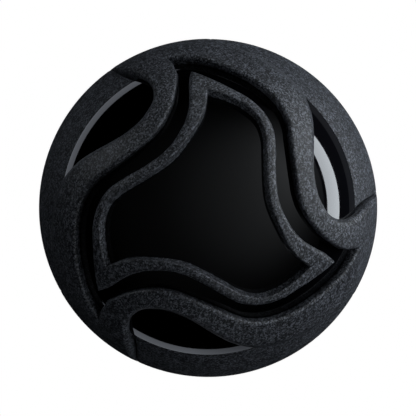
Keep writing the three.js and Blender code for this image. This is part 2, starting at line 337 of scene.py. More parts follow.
def lathe(name, profile, segments):
    """A profile of (radius, z) turned about the ball's axis; a radius of 0 is a pole."""
    vertices, rings = [], []
    for radius, z in profile:
        if radius < 1e-9:
            rings.append([len(vertices)] * segments)
            vertices.append((0, 0, z))
            continue
        rings.append(list(range(len(vertices), len(vertices) + segments)))
        for k in range(segments):
            a = 2 * math.pi * k / segments
            vertices.append((radius * math.cos(a), radius * math.sin(a), z))
    faces = []
    for a, b in zip(rings, rings[1:] + rings[:1]):
        for k in range(segments):
            corners = (a[k], b[k], b[(k + 1) % segments], a[(k + 1) % segments])
            unique = list(dict.fromkeys(corners))
            if len(unique) > 2:
                faces.append(unique)
    return make_object(name, vertices, faces)


def core_shell(name):
    """Outside from the pole to the belt, down the rounded lip into the recess, and the hollow."""
    profile = [
        (core_radius(a) * math.sin(math.radians(a)), core_radius(a) * math.cos(math.radians(a)))
        for a in np.linspace(0, BELT_ANGLE - LIP_START, 90)
    ]
    profile[0] = (0, profile[0][1])
    lip_middle = BELT_ANGLE - LIP_MIDDLE
    profile += arc(CORE_RADIUS - 0.25 * LIP_DROP, lip_middle, lip_middle, 1)
    profile += arc(CORE_RADIUS - LIP_DROP, BELT_ANGLE, BELT_ANGLE, 1)
    profile += arc(RECESS_RADIUS, BELT_ANGLE, 89.9, 14)
    profile += [(RECESS_RADIUS, PARTING), (CAVITY_RADIUS, PARTING)]
    profile += arc(CAVITY_RADIUS, 89, 0, 30)
    profile[-1] = (0, CAVITY_RADIUS)
    shell = lathe(name, profile, 256)
    bm = bmesh.new()
    bm.from_mesh(shell.data)
    bmesh.ops.recalc_face_normals(bm, faces=bm.faces)
    bm.to_mesh(shell.data)
    bm.free()
    return shell


def gloss_plastic():
    material, nodes, links, shader = new_material("polished_black_plastic")
    shader.inputs["Base Color"].default_value = (0.006, 0.006, 0.008, 1)
    shader.inputs["IOR"].default_value = 1.5
    place = nodes.new("ShaderNodeTexCoord")
    scratches = nodes.new("ShaderNodeTexNoise")
    scratches.inputs["Scale"].default_value = 420
    scratches.inputs["Detail"].default_value = 6
    links.new(place.outputs["Object"], scratches.inputs["Vector"])
    haze = nodes.new("ShaderNodeMapRange")
    haze.inputs["From Min"].default_value = 0.35
    haze.inputs["From Max"].default_value = 0.75
    haze.inputs["To Min"].default_value = 0.025
    haze.inputs["To Max"].default_value = 0.07
    links.new(scratches.outputs["Fac"], haze.inputs["Value"])
    links.new(haze.outputs["Result"], shader.inputs["Roughness"])
    return material


gloss = gloss_plastic()
front_shell = core_shell("front_shell")
rear_shell = rear_copy(front_shell, "rear_shell")
for shell, node in ((front_shell, "front_core_shell"), (rear_shell, "rear_core_shell")):
    shell.data.materials.clear()
    shell.data.materials.append(gloss)
    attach(shell, "root")
    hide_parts(node)
    polished.objects.link(shell)

# ---------------------------------------------------------------------------------------------
# Grip webs: one rubber moulding per face, three S-shaped ribs that round an open window and
# meet over the equator. Side walls stand square on the core, or run down with a draft where
# that would undercut, and every top edge is rounded.
INNER_EDGE = 0.65 * MM
OUTER_EDGE = 1.1 * MM
WALL_DRAFT = math.tan(math.radians(8))
WALL_LEAN = 0.6
NOTCH_LENGTH = 8 * MM
DEEPEST_WALL = 9 * MM
BELOW_PARTING = 1.5 * MM
WALL_STRIDE = 0.02 * MM
LARGEST_ROUND = 0.85
FILL_SPACING = 0.02
WEB_STEP = 0.3 * MM
WEB_INNER = (
    (105.3, 65.5), (97, 62), (88, 57.4), (78, 53.6), (66, 50), (56, 46.6), (48, 42.8), (40, 37.8),
    (31, 34.2), (20, 31.9), (9, 31.3), (-1, 33), (-8.5, 37), (-13.2, 42), (-15.8, 48),
    (-16.6, 54), (-16.2, 60), (-14.7, 65.5),
)
WEB_OUTER = (
    (92, 100), (90.3, 90), (88, 79.5), (80, 71), (70, 65.7), (60, 61.8), (52, 58.7), (46, 55.1),
    (40, 50.7), (33, 45.4), (26, 41.4), (19, 39), (12, 38.2), (6, 38.7), (1, 40.4), (-2.8, 42.6),
    (-5, 45.6), (-5.9, 49.5), (-5.3, 53.5), (-3.4, 59), (0, 66.8), (2.4, 74), (4.5, 90), (5, 100),
)


def direction(azimuth, polar):
    a, p = math.radians(azimuth), math.radians(polar)
    return np.array((math.sin(p) * math.cos(a), math.sin(p) * math.sin(a), math.cos(p)))


def smooth_line(places, spacing):
    """Evenly spaced unit vectors on a smooth line through places on the ball."""
    knots = [direction(*place) for place in places]
    knots = [2 * knots[0] - knots[1], *knots, 2 * knots[-1] - knots[-2]]
    dense = []
    for p0, p1, p2, p3 in zip(knots, knots[1:], knots[2:], knots[3:]):
        t1 = np.linalg.norm(p1 - p0) ** 0.5
        t2 = t1 + np.linalg.norm(p2 - p1) ** 0.5
        t3 = t2 + np.linalg.norm(p3 - p2) ** 0.5
        for t in np.linspace(t1, t2, 24, endpoint=False):
            a1 = (t1 - t) / t1 * p0 + t / t1 * p1
            a2 = (t2 - t) / (t2 - t1) * p1 + (t - t1) / (t2 - t1) * p2
            a3 = (t3 - t) / (t3 - t2) * p2 + (t - t2) / (t3 - t2) * p3
            b1 = (t2 - t) / t2 * a1 + t / t2 * a2
            b2 = (t3 - t) / (t3 - t1) * a2 + (t - t1) / (t3 - t1) * a3
            dense.append((t2 - t) / (t2 - t1) * b1 + (t - t1) / (t2 - t1) * b2)
    dense.append(knots[-2])
    dense = np.array(dense)
    dense /= np.linalg.norm(dense, axis=1)[:, None]
    along = np.concatenate([[0], np.cumsum(np.linalg.norm(np.diff(dense, axis=0), axis=1))])
    count = max(8, round(along[-1] * BALL_RADIUS / spacing))
    marks = np.linspace(0, along[-1], count + 1)
    line = np.stack([np.interp(marks, along, dense[:, k]) for k in range(3)], axis=1)
    return line / np.linalg.norm(line, axis=1)[:, None]


def turned(points, degrees):
    """Points turned about the ball's axis."""
    c, s = math.cos(math.radians(degrees)), math.sin(math.radians(degrees))
    return points @ np.array(((c, s, 0), (-s, c, 0), (0, 0, 1)))


def threefold(line, share_ends):
    """The closed outline made of three turned copies of a line."""
    third = line[:-1] if share_ends else line
    return np.concatenate([turned(third, -sector) for sector in SECTORS])


def outward_from_rib(outline, side):
    """Unit vectors along the ball that point out of the rib; side is +1 or -1."""
    ahead = np.roll(outline, -1, axis=0) - outline
    behind = outline - np.roll(outline, 1, axis=0)
    normals = []
    for step in (ahead, behind):
        n = np.cross(step, outline) * side
        normals.append(n / np.maximum(1e-12, np.linalg.norm(n, axis=1))[:, None])
    total = normals[0] + normals[1]
    return total / np.linalg.norm(total, axis=1)[:, None]


def seat_radius(point):
    """Radius of what a rib stands on, in the direction of a point."""
    polar = math.degrees(math.acos(max(-1, min(1, point[2] / np.linalg.norm(point)))))
    if polar < BELT_ANGLE:
        return float(core_radius(polar))
    return RECESS_RADIUS


def wall_direction(edge, outward):
    """Down the side wall: towards the ball's centre, or along the axis with a draft."""
    plan = np.array((outward[0], outward[1], 0))
    plan /= max(1e-9, np.linalg.norm(plan))
    inward = -edge / np.linalg.norm(edge)
    if inward[2] < 0 and np.dot(inward, plan) >= WALL_DRAFT * -inward[2]:
        leaning = inward + np.array((0, 0, -WALL_LEAN))
        return leaning / np.linalg.norm(leaning)
    down = np.array((0, 0, -1)) + WALL_DRAFT * plan
    return down / np.linalg.norm(down)


def chart(points):
    """Flat coordinates of points around the front pole."""
    unit = points / np.linalg.norm(points, axis=1)[:, None]
    return unit[:, :2] / (1 + unit[:, 2:3])


def rib_edge_rows(outline, side, rounding, notch_tips, arc_steps=8, wall_steps=2):
    """Loops of points from the foot of a side wall, over its rounded edge, to the rib's top.

    Walls turn square to the core where two of them meet in the tip of a notch.
    """
    edge_points = outline * BALL_RADIUS
    outward = outward_from_rib(outline, side)
    rows = [[] for _ in range(wall_steps + arc_steps + 1)]
    for edge, out in zip(edge_points, outward):
        down = wall_direction(edge, out)
        for tip in notch_tips:
            share = min(1, np.linalg.norm(edge - tip * BALL_RADIUS) / NOTCH_LENGTH) ** 2
            down = share * down - (1 - share) * edge / BALL_RADIUS
            down /= np.linalg.norm(down)
        depth = 0.0
        while depth < DEEPEST_WALL:
            foot = edge + down * depth
            if np.linalg.norm(foot) <= seat_radius(foot) or foot[2] < -BELOW_PARTING:
                break
            depth += WALL_STRIDE
        foot = edge + down * (depth + WALL_STRIDE)
        across = -out
        between = math.acos(max(-1, min(1, float(np.dot(down, across)))))
        reach = min(rounding / math.tan(between / 2), LARGEST_ROUND * depth)
        radius = reach * math.tan(between / 2)
        middle = down + across
        centre = edge + middle / np.linalg.norm(middle) * radius / math.sin(between / 2)
        start = edge + down * reach - centre
        end = edge + across * reach - centre
        turn = math.pi - between
        for k in range(wall_steps):
            rows[k].append(foot + (edge + down * reach - foot) * k / wall_steps)
        for k in range(arc_steps + 1):
            f = k / arc_steps
            blend = (math.sin((1 - f) * turn) * start + math.sin(f * turn) * end) / math.sin(turn)
            rows[wall_steps + k].append(centre + blend)
    rows = [np.array(row) for row in rows]
    rows[-1] *= (BALL_RADIUS / np.linalg.norm(rows[-1], axis=1))[:, None]
    return rows


def inside_loops(flat, loops):
    """Even-odd test of flat points against closed loops."""
    inside = np.zeros(len(flat), bool)
    for loop in loops:
        nxt = np.roll(loop, -1, axis=0)
        for (x0, y0), (x1, y1) in zip(loop, nxt):
            if y0 == y1:
                continue
            crosses = (y0 > flat[:, 1]) != (y1 > flat[:, 1])
            inside ^= crosses & (flat[:, 0] < (x1 - x0) * (flat[:, 1] - y0) / (y1 - y0) + x0)
    return inside


def fill_between(loops, spacing):
    """Fill flat closed loops with triangles on a grid of points.

    Gives the flat points, the faces, and for each point the rim vertex it came from or -1.
    """
    edges, points = [], []
    for loop in loops:
        start = len(points)
        points += [tuple(p) for p in loop]
        edges += [(start + i, start + (i + 1) % len(loop)) for i in range(len(loop))]
    border = np.array(points)
    reach = np.abs(border).max()
    rows = np.arange(-reach, reach, spacing * 0.866)
    grid = []
    for k, y in enumerate(rows):
        grid += [(x + (k % 2) * spacing / 2, y) for x in np.arange(-reach, reach, spacing)]
    grid = np.array(grid)
    grid = grid[inside_loops(grid, loops)]
    keep = []
    chunk = 500
    for start in range(0, len(grid), chunk):
        part = grid[start:start + chunk]
        gap = np.min(np.linalg.norm(part[:, None, :] - border[None, :, :], axis=2), axis=1)
        keep.append(part[gap > 0.6 * spacing])
    grid = np.concatenate(keep)
    flat = [Vector(p) for p in points] + [Vector(p) for p in grid]
    found = delaunay_2d_cdt(flat, edges, [], 0, 1e-9)
    made = np.array([tuple(v) for v in found[0]])
    faces = np.array([tuple(f) for f in found[2]])
    centres = made[faces].mean(axis=1)
    faces = faces[inside_loops(centres, loops)]
    origin = [ids[0] if ids else -1 for ids in found[3]]
    return made, faces, origin


def unchart(flat):
    """Unit vectors of flat chart coordinates."""
    s2 = (flat ** 2).sum(axis=1)
    return np.stack([2 * flat[:, 0], 2 * flat[:, 1], 1 - s2], axis=1) / (1 + s2)[:, None]


def grip_web(name):
    inner = threefold(smooth_line(WEB_INNER, WEB_STEP), True)
    outer = threefold(smooth_line(WEB_OUTER, WEB_STEP), False)
    tips = threefold(np.array([direction(*WEB_INNER[0])]), False)
    rims = [rib_edge_rows(inner, 1, INNER_EDGE, tips), rib_edge_rows(outer, -1, OUTER_EDGE, [])]
    bm = bmesh.new()
    tops, feet = [], []
    for rows in rims:
        made = [[bm.verts.new(p) for p in row] for row in rows]
        for low, high in zip(made, made[1:]):
            for i in range(len(low)):
                j = (i + 1) % len(low)
                bm.faces.new((low[i], low[j], high[j], high[i]))
        feet.append((rows[0], made[0]))
        tops.append((rows[-1], made[-1]))
    for loops, on_ball in ((tops, True), (feet, False)):
        flat_loops = [chart(points) for points, _ in loops]
        rim = [v for _, verts in loops for v in verts]
        flat, faces, origin = fill_between(flat_loops, FILL_SPACING)
        solid = unchart(flat)
        verts = []
        for p, source in zip(solid, origin):
            if 0 <= source < len(rim):
                verts.append(rim[source])
            else:
                verts.append(bm.verts.new(p * (BALL_RADIUS if on_ball else seat_radius(p))))
        for face in faces:
            try:
                bm.faces.new([verts[i] for i in face])
            except ValueError:
                pass
    plane = bmesh.ops.bisect_plane(
        bm, geom=bm.verts[:] + bm.edges[:] + bm.faces[:], dist=1e-8,
        plane_co=(0, 0, PARTING), plane_no=(0, 0, 1), clear_inner=True,
    )
    cut = [e for e in plane["geom_cut"] if isinstance(e, bmesh.types.BMEdge)]
    bmesh.ops.holes_fill(bm, edges=cut, sides=0)
    bmesh.ops.recalc_face_normals(bm, faces=bm.faces)
    mesh = bpy.data.meshes.new(name)
    bm.to_mesh(mesh)
    bm.free()
    mesh.shade_smooth()
    piece = bpy.data.objects.new(name, mesh)
    bpy.context.scene.collection.objects.link(piece)
    return piece


def grained_rubber(name, base):
    """Charcoal rubber with a fine spark-eroded grain and a few painted glints as pale specks."""
    material, nodes, links, shader = new_material(name)
    place = nodes.new("ShaderNodeTexCoord")
    grain = nodes.new("ShaderNodeTexNoise")
    grain.inputs["Scale"].default_value = 3300
    grain.inputs["Detail"].default_value = 2
    grain.inputs["Roughness"].default_value = 0.7
    links.new(place.outputs["Object"], grain.inputs["Vector"])
    cells = nodes.new("ShaderNodeTexVoronoi")
    cells.inputs["Scale"].default_value = 3500
    links.new(place.outputs["Object"], cells.inputs["Vector"])
    chance = nodes.new("ShaderNodeSeparateColor")
    links.new(cells.outputs["Color"], chance.inputs["Color"])
    # Painted glints: the rarest grains get a pale colour that stands in for light glinting off
    # them.
    painted_glints = nodes.new("ShaderNodeMapRange")
    painted_glints.inputs["From Min"].default_value = 0.9
    painted_glints.inputs["From Max"].default_value = 1.0
    painted_glints.inputs["To Max"].default_value = 0.6
    links.new(chance.outputs["Red"], painted_glints.inputs["Value"])
    uneven = nodes.new("ShaderNodeMath")
    uneven.operation = "POWER"
    uneven.inputs[1].default_value = 2.8
    links.new(chance.outputs["Green"], uneven.inputs[0])
    tone = nodes.new("ShaderNodeMapRange")
    tone.inputs["To Min"].default_value = 0.15
    tone.inputs["To Max"].default_value = 3.7
    links.new(uneven.outputs[0], tone.inputs["Value"])
    dark = nodes.new("ShaderNodeVectorMath")
    dark.operation = "SCALE"
    dark.inputs[0].default_value = base
    links.new(tone.outputs["Result"], dark.inputs["Scale"])
    # The base colour: the grain's tones, with the painted glints laid over them.
    paint = nodes.new("ShaderNodeMix")
    paint.data_type = "RGBA"
    paint.inputs["B"].default_value = (0.34, 0.35, 0.38, 1)
    links.new(painted_glints.outputs["Result"], paint.inputs["Factor"])
    links.new(dark.outputs[0], paint.inputs["A"])
    links.new(paint.outputs["Result"], shader.inputs["Base Color"])
    shader.inputs["Roughness"].default_value = 0.45
    shader.inputs["Specular IOR Level"].default_value = 0.5
    bump = nodes.new("ShaderNodeBump")
    bump.inputs["Strength"].default_value = 0.7
    bump.inputs["Distance"].default_value = 0.12 * MM
    links.new(grain.outputs["Fac"], bump.inputs["Height"])
    links.new(bump.outputs["Normal"], shader.inputs["Normal"])
    return material


rubber = grained_rubber("spark_grain_rubber", (0.085, 0.09, 0.102))
front_web = grip_web("front_web")
rear_web = rear_copy(front_web, "rear_web")
for web, node in ((front_web, "front_grip_web"), (rear_web, "rear_grip_web")):
    web.data.materials.append(rubber)
    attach(web, "root")
    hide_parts(node)
    rubber_parts.objects.link(web)

# ---------------------------------------------------------------------------------------------
# Trefoil rings: a narrower rib inside the web, one per face, with a crisp inner edge, a rounded
# outer flank and three mitred corners. It is moulded in the same rubber and pegged to the core.
RING_INNER_EDGE = 0.35 * MM
RING_OUTER_EDGE = 1.25 * MM
RING_STEP = 0.3 * MM
RING_INNER = (
    (90, 42.4), (80, 40.6), (70, 38.8), (60, 36.2), (52, 32.1), (44, 27.5), (35, 24.1),
    (25, 21.9), (12, 20.7), (0, 21.3), (-10, 23.3), (-19, 26.8), (-25.5, 31.1), (-28.5, 35.5),
    (-30, 42.4),
)
RING_OUTER = (
    (97.3, 53.8), (90, 49.6), (80, 45.5), (70, 43.2), (60, 40.5), (50, 36.6), (40, 31.1),
    (30, 27.1), (20, 25.1), (10, 24.4), (0, 25.3), (-8, 27.6), (-15, 31.4), (-18.7, 36),
    (-20.3, 41.3), (-21.2, 48), (-22.7, 53.8),
)


def resample(line, count):
    """The same line with a given number of evenly spaced points."""
    along = np.concatenate([[0], np.cumsum(np.linalg.norm(np.diff(line, axis=0), axis=1))])
    marks = np.linspace(0, along[-1], count)
    even = np.stack([np.interp(marks, along, line[:, k]) for k in range(3)], axis=1)
    return even / np.linalg.norm(even, axis=1)[:, None]


def face_outwards(piece, crease_angle):
    """Turn all faces outwards and keep edges sharper than an angle crisp."""
    bm = bmesh.new()
    bm.from_mesh(piece.data)
    bmesh.ops.recalc_face_normals(bm, faces=bm.faces)
    bm.to_mesh(piece.data)
    bm.free()
    piece.data.shade_smooth()
    piece.data.set_sharp_from_angle(angle=math.radians(crease_angle))


def trefoil_ring(name):
    """One section after another along the ring, each from its inner to its outer foot."""
    count = len(smooth_line(RING_INNER, RING_STEP))
    inner = resample(smooth_line(RING_INNER, RING_STEP), count)
    outer = resample(smooth_line(RING_OUTER, RING_STEP), count)
    along = np.gradient((inner + outer) / 2, axis=0)
    across = outer - inner
    square = np.linalg.norm(np.cross(along, across), axis=1) / np.linalg.norm(along, axis=1)
    width = square * BALL_RADIUS
    width[0] = width[-1] = (width[0] + width[-1]) / 2
    rows = []
    for i in range(count):
        w = width[i]
        sharp, soft = RING_INNER_EDGE, RING_OUTER_EDGE
        turns = np.linspace(0, math.pi / 2, 9)
        section = [(sharp * (1 - math.cos(t)), sharp * (1 - math.sin(t))) for t in turns]
        flat = w - sharp - soft
        third_of_way, two_thirds = 0.33, 0.66
        section += [(sharp + flat * f, 0.0) for f in (third_of_way, two_thirds)]
        section += [(w - soft * (1 - math.cos(t)), soft * (1 - math.sin(t))) for t in turns[::-1]]
        row = []
        for d, drop in section:
            p = inner[i] + across[i] * d / w
            p /= np.linalg.norm(p)
            row.append(p * (BALL_RADIUS - drop))
        for p in (outer[i], (inner[i] + outer[i]) / 2, inner[i]):
            p = p / np.linalg.norm(p)
            row.append(p * (seat_radius(p) + WALL_STRIDE))
        rows.append(row)
    third = np.array(rows[:-1])
    solid = np.concatenate([turned(third, -sector) for sector in SECTORS])
    total, n = solid.shape[0], solid.shape[1]
    faces = []
    for i in range(total):
        j = (i + 1) % total
        for k in range(n):
            m = (k + 1) % n
            faces.append((i * n + k, j * n + k, j * n + m, i * n + m))
    piece = make_object(name, solid.reshape(-1, 3), faces)
    face_outwards(piece, 22)
    return piece


front_ring = trefoil_ring("front_ring")
rear_ring = rear_copy(front_ring, "rear_ring")
for ring, node in ((front_ring, "front_trefoil_ring"), (rear_ring, "rear_trefoil_ring")):
    ring.data.materials.append(rubber)
    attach(ring, "root")
    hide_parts(node)
    rubber_parts.objects.link(ring)

# ---------------------------------------------------------------------------------------------
# Belt pads: three crowned lenses of rubber around the equator, bonded in the recess between the
# webs. They roll over where they meet a web and end flush with the polished shells.
BELT_SIDE = BELT_ANGLE + 0.1
BELT_CROWN = 1.5
PAD_FLOOR = 31.9 * MM
PAD_ROLL = 0.8 * MM
PAD_LIP = 0.16 * MM
PAD_GAP = 0.2 * MM
PAD_GRID = 0.9 * MM
PAD_CLEARANCE = 0.3 * MM
OUTLINE_STEP = 0.25 * MM
CIRCLE_STEP = 0.5
SIDE_RADIUS = 33.12 * MM
side_height = SIDE_RADIUS * math.cos(math.radians(BELT_SIDE))
side_fall = BALL_RADIUS - SIDE_RADIUS * math.sin(math.radians(BELT_SIDE))


def belt_radius(unit):
    """Distance of the belt's crowned surface from the centre, along unit vectors."""
    flat = np.linalg.norm(unit[:, :2], axis=1)
    radius = np.full(len(unit), BALL_RADIUS)
    for _ in range(12):
        z = np.abs(radius * unit[:, 2])
        rho = BALL_RADIUS - side_fall * (z / side_height) ** BELT_CROWN
        radius = 0.5 * radius + 0.5 * rho / flat
    return radius


def polar_of(line):
    return np.degrees(np.arccos(line[:, 2]))


def line_to(line, polar):
    """The part of a falling line above a polar angle, ending exactly on it."""
    angles = polar_of(line)
    nearest = 0.15
    keep = line[angles < polar - nearest]
    k = len(keep)
    f = (polar - angles[k - 1]) / (angles[k] - angles[k - 1])
    end = line[k - 1] + f * (line[k] - line[k - 1])
    return np.concatenate([keep, [end / np.linalg.norm(end)]])


def pad_outline():
    """Closed outline of one pad, and for each point whether it lies on a crease."""
    web_line = smooth_line(WEB_OUTER, OUTLINE_STEP)
    lowest = int(np.argmin(polar_of(web_line)))
    first = web_line[:lowest + 1][::-1]
    last = web_line[lowest:]
    right = line_to(first, 90)
    right = right[polar_of(right) > BELT_SIDE]
    left = line_to(last, 90)
    left = left[polar_of(left) > BELT_SIDE]
    ends = []
    for line in (left, right):
        ends.append(math.degrees(math.atan2(line[0][1], line[0][0])))
    span = np.arange(ends[0], ends[1], CIRCLE_STEP)
    circle = np.array([direction(a, BELT_SIDE) for a in span])
    half = np.concatenate([left[::-1], circle, right[:-1]])
    crease = np.array([True] * len(left) + [False] * len(circle) + [True] * (len(right) - 1))
    turn = np.array(half_turn.to_3x3())
    return np.concatenate([half[1:], half[1:] @ turn.T]), np.concatenate([crease[1:], crease[1:]])


def belt_pad(name, sector):
    """A crowned slab filled on a flat chart whose edges fall off with the distance from them."""
    outline, crease = pad_outline()
    middle = direction(TURN_AXIS, 90)
    east = np.cross((0, 0, 1), middle)
    frame_axes = np.stack([east, np.array((0, 0, 1)), middle])

    def to_chart(unit):
        local = unit @ frame_axes.T
        return local[:, :2] / (1 + local[:, 2:3])

    def from_chart(flat):
        return unchart(flat) @ frame_axes

    loop = to_chart(outline)
    ahead = np.roll(loop, -1, axis=0)
    area = np.sum(loop[:, 0] * ahead[:, 1] - loop[:, 1] * ahead[:, 0])
    side = 1 if area > 0 else -1
    chart_mm = 2 * BALL_RADIUS

    def inward(points):
        step = np.roll(points, -1, axis=0) - np.roll(points, 1, axis=0)
        n = np.stack([-step[:, 1], step[:, 0]], axis=1) * side
        return n / np.linalg.norm(n, axis=1)[:, None]

    def scale_at(points):
        return (1 + (points ** 2).sum(axis=1)) / chart_mm

    gap = np.where(crease, PAD_GAP, 0.0)
    loop = loop + inward(loop) * (gap * scale_at(loop))[:, None]
    normals = inward(loop)
    crease_line, lip_line = loop[crease], loop[~crease]

    def distance(points, line):
        best = np.full(len(points), np.inf)
        chunk = 400
        for start in range(0, len(points), chunk):
            part = points[start:start + chunk]
            gaps = np.linalg.norm(part[:, None] - line[None], axis=2)
            best[start:start + chunk] = gaps.min(axis=1)
        return best / scale_at(points)

    def drop_of(points):
        """How far the surface falls towards the pad's rolled and lipped edges."""
        drops = []
        for line, roll in ((crease_line, PAD_ROLL), (lip_line, PAD_LIP)):
            f = 1 - np.minimum(1, distance(points, line) / roll)
            drops.append(roll * (1 - np.sqrt(np.maximum(0, 1 - f * f))))
        return np.maximum(*drops)

    rows = []
    for turn in np.linspace(0, math.pi / 2, 8)[1:]:
        for mask, roll, other in ((crease, PAD_ROLL, lip_line), (~crease, PAD_LIP, crease_line)):
            d = roll * (1 - math.cos(turn))
            base = loop[mask]
            moved = base + normals[mask] * (d * scale_at(base))[:, None]
            clear = distance(moved, other) > 0.06 * MM
            own = distance(moved, loop[mask]) > 0.93 * d
            rows.append(moved[clear & own & inside_loops(moved, [loop])])
    reach = np.abs(loop).max() * 1.05
    spacing = PAD_GRID / chart_mm
    grid = np.array([
        (x + (k % 2) * spacing / 2, y)
        for k, y in enumerate(np.arange(-reach, reach, spacing * 0.866))
        for x in np.arange(-reach, reach, spacing)
    ])
    grid = grid[inside_loops(grid, [loop])]
    grid = grid[distance(grid, crease_line) > PAD_ROLL + PAD_CLEARANCE]
    grid = grid[distance(grid, lip_line) > PAD_LIP + PAD_CLEARANCE]
    count = len(loop)
    flat = np.concatenate([loop, *rows, grid])
    edges = [(i, (i + 1) % count) for i in range(count)]
    found = delaunay_2d_cdt([Vector(p) for p in flat], edges, [], 1, 1e-9)
    flat = np.array([tuple(v) for v in found[0]])
    top_faces = [tuple(f) for f in found[2]]
    unit = from_chart(flat)
    drop = drop_of(flat)
    drop[:count] = np.where(crease, PAD_ROLL, PAD_LIP)
    top = unit * (belt_radius(unit) - drop)[:, None]
    coarse = grid[::5]
    found = delaunay_2d_cdt([Vector(p) for p in np.concatenate([loop, coarse])], edges, [], 1, 1e-9)
    below = np.array([tuple(v) for v in found[0]])
    floor_points = from_chart(below) * PAD_FLOOR
    first_floor = len(top)
    faces = top_faces + [tuple(first_floor + i for i in reversed(f)) for f in found[2]]
    for i in range(count):
        j = (i + 1) % count
        faces.append((i, j, first_floor + j, first_floor + i))
    solid = turned(np.concatenate([top, floor_points]), sector)
    piece = make_object(name, solid, faces)
    face_outwards(piece, 35)
    return piece


for k, sector in enumerate(SECTORS):
    pad = belt_pad(f"belt_pad_{k + 1}_moulding", sector)
    pad.data.materials.append(rubber)
    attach(pad, "root")
    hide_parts(f"belt_pad_{k + 1}")
    rubber_parts.objects.link(pad)

# ---------------------------------------------------------------------------------------------
# Shell screws: three socket-head steel screws that pull the halves together. They enter through
# counterbores in the rear shell that the rear web then covers.
SCREW_CIRCLE = 23.4 * MM
SCREW_AZIMUTH = 53.8
SCREW_SEAT = 4.4 * MM
SCREW_LENGTH = 8.4 * MM


class NodeTree:
    """A geometry node tree with named number inputs, built a node at a time."""

    def __init__(self, name, inputs):
        self.tree = bpy.data.node_groups.new(name, "GeometryNodeTree")
        self.sockets = {}
        for label, (kind, value) in inputs.items():
            self.sockets[label] = self.tree.interface.new_socket(
                label, in_out="INPUT", socket_type=kind
            )
            self.sockets[label].default_value = value
        self.tree.interface.new_socket(
            "Geometry", in_out="OUTPUT", socket_type="NodeSocketGeometry"
        )
        self.source = self.tree.nodes.new("NodeGroupInput")
        self.sink = self.tree.nodes.new("NodeGroupOutput")
        self.values = {label: value for label, (_, value) in inputs.items()}

    def input(self, label):
        return self.source.outputs[label]

    def node(self, kind, links=None, **settings):
        node = self.tree.nodes.new(kind)
        for key, value in settings.items():
            setattr(node, key, value)
        for key, value in (links or {}).items():
            socket = node.inputs[key]
            if isinstance(value, bpy.types.NodeSocket):
                self.tree.links.new(value, socket)
            else:
                socket.default_value = value
        return node

    def math(self, operation, a, b):
        return self.node("ShaderNodeMath", {0: a, 1: b}, operation=operation).outputs[0]

    def join(self, *parts):
        node = self.node("GeometryNodeJoinGeometry")
        for part in parts:
            self.tree.links.new(part, node.inputs["Geometry"])
        return node.outputs[0]

    def finish(self, geometry, material):
        """Realize the copies, give them their material and turn the result into a plain mesh."""
        real = self.node("GeometryNodeRealizeInstances", {"Geometry": geometry})
        painted = self.node("GeometryNodeSetMaterial", {"Geometry": real.outputs[0]})
        painted.inputs["Material"].default_value = material
        self.tree.links.new(painted.outputs[0], self.sink.inputs[0])
        name = self.tree.name
        carrier = bpy.data.objects.new(name + "_source", bpy.data.meshes.new(name + "_source"))
        bpy.context.scene.collection.objects.link(carrier)
        modifier = carrier.modifiers.new("build", "NODES")
        modifier.node_group = self.tree
        for label, socket in self.sockets.items():
            modifier[socket.identifier] = self.values[label]
        depsgraph = bpy.context.evaluated_depsgraph_get()
        mesh = bpy.data.meshes.new_from_object(carrier.evaluated_get(depsgraph))
        carrier.modifiers.remove(modifier)
        bpy.data.objects.remove(carrier)
        mesh.name = name
        mesh.materials.clear()
        mesh.materials.append(material)
        mesh.polygons.foreach_set("material_index", [0] * len(mesh.polygons))
        piece = bpy.data.objects.new(name, mesh)
        bpy.context.scene.collection.objects.link(piece)
        face_outwards(piece, 30)
        return piece


def around_circle(tree, part, radius, azimuth):
    """Three copies of a part on a circle about the ball's axis."""
    circle = tree.node("GeometryNodeMeshCircle", {"Vertices": 3, "Radius": radius})
    turned = tree.node(
        "GeometryNodeTransform",
        {"Geometry": circle.outputs[0], "Rotation": (0, 0, math.radians(azimuth))},
    )
    copies = tree.node(
        "GeometryNodeInstanceOnPoints", {"Points": turned.outputs[0], "Instance": part}
    )
    return copies.outputs[0]


def moved(tree, geometry, z):
    """The geometry lifted by z."""
    lift = tree.node("ShaderNodeCombineXYZ", {"Z": z})
    return tree.node(
        "GeometryNodeTransform", {"Geometry": geometry, "Translation": lift.outputs[0]}
    ).outputs[0]


def mottled(name, scale, dark, light, metallic, roughness):
    """A finish that varies finely between two tones, and between two values of roughness."""
    material, nodes, links, shader = new_material(name)
    shader.inputs["Metallic"].default_value = metallic
    place = nodes.new("ShaderNodeTexCoord")
    marks = nodes.new("ShaderNodeTexNoise")
    marks.inputs["Scale"].default_value = scale
    links.new(place.outputs["Object"], marks.inputs["Vector"])
    shade = nodes.new("ShaderNodeValToRGB")
    shade.color_ramp.elements[0].color = (*dark, 1)
    shade.color_ramp.elements[1].color = (*light, 1)
    links.new(marks.outputs["Fac"], shade.inputs["Fac"])
    links.new(shade.outputs["Color"], shader.inputs["Base Color"])
    rough = nodes.new("ShaderNodeMapRange")
    rough.inputs["To Min"].default_value, rough.inputs["To Max"].default_value = roughness
    links.new(marks.outputs["Fac"], rough.inputs["Value"])
    links.new(rough.outputs["Result"], shader.inputs["Roughness"])
    return material


steel = mottled("turned_steel", 1500, (0.42, 0.43, 0.45), (0.62, 0.63, 0.65), 1.0, (0.22, 0.42))


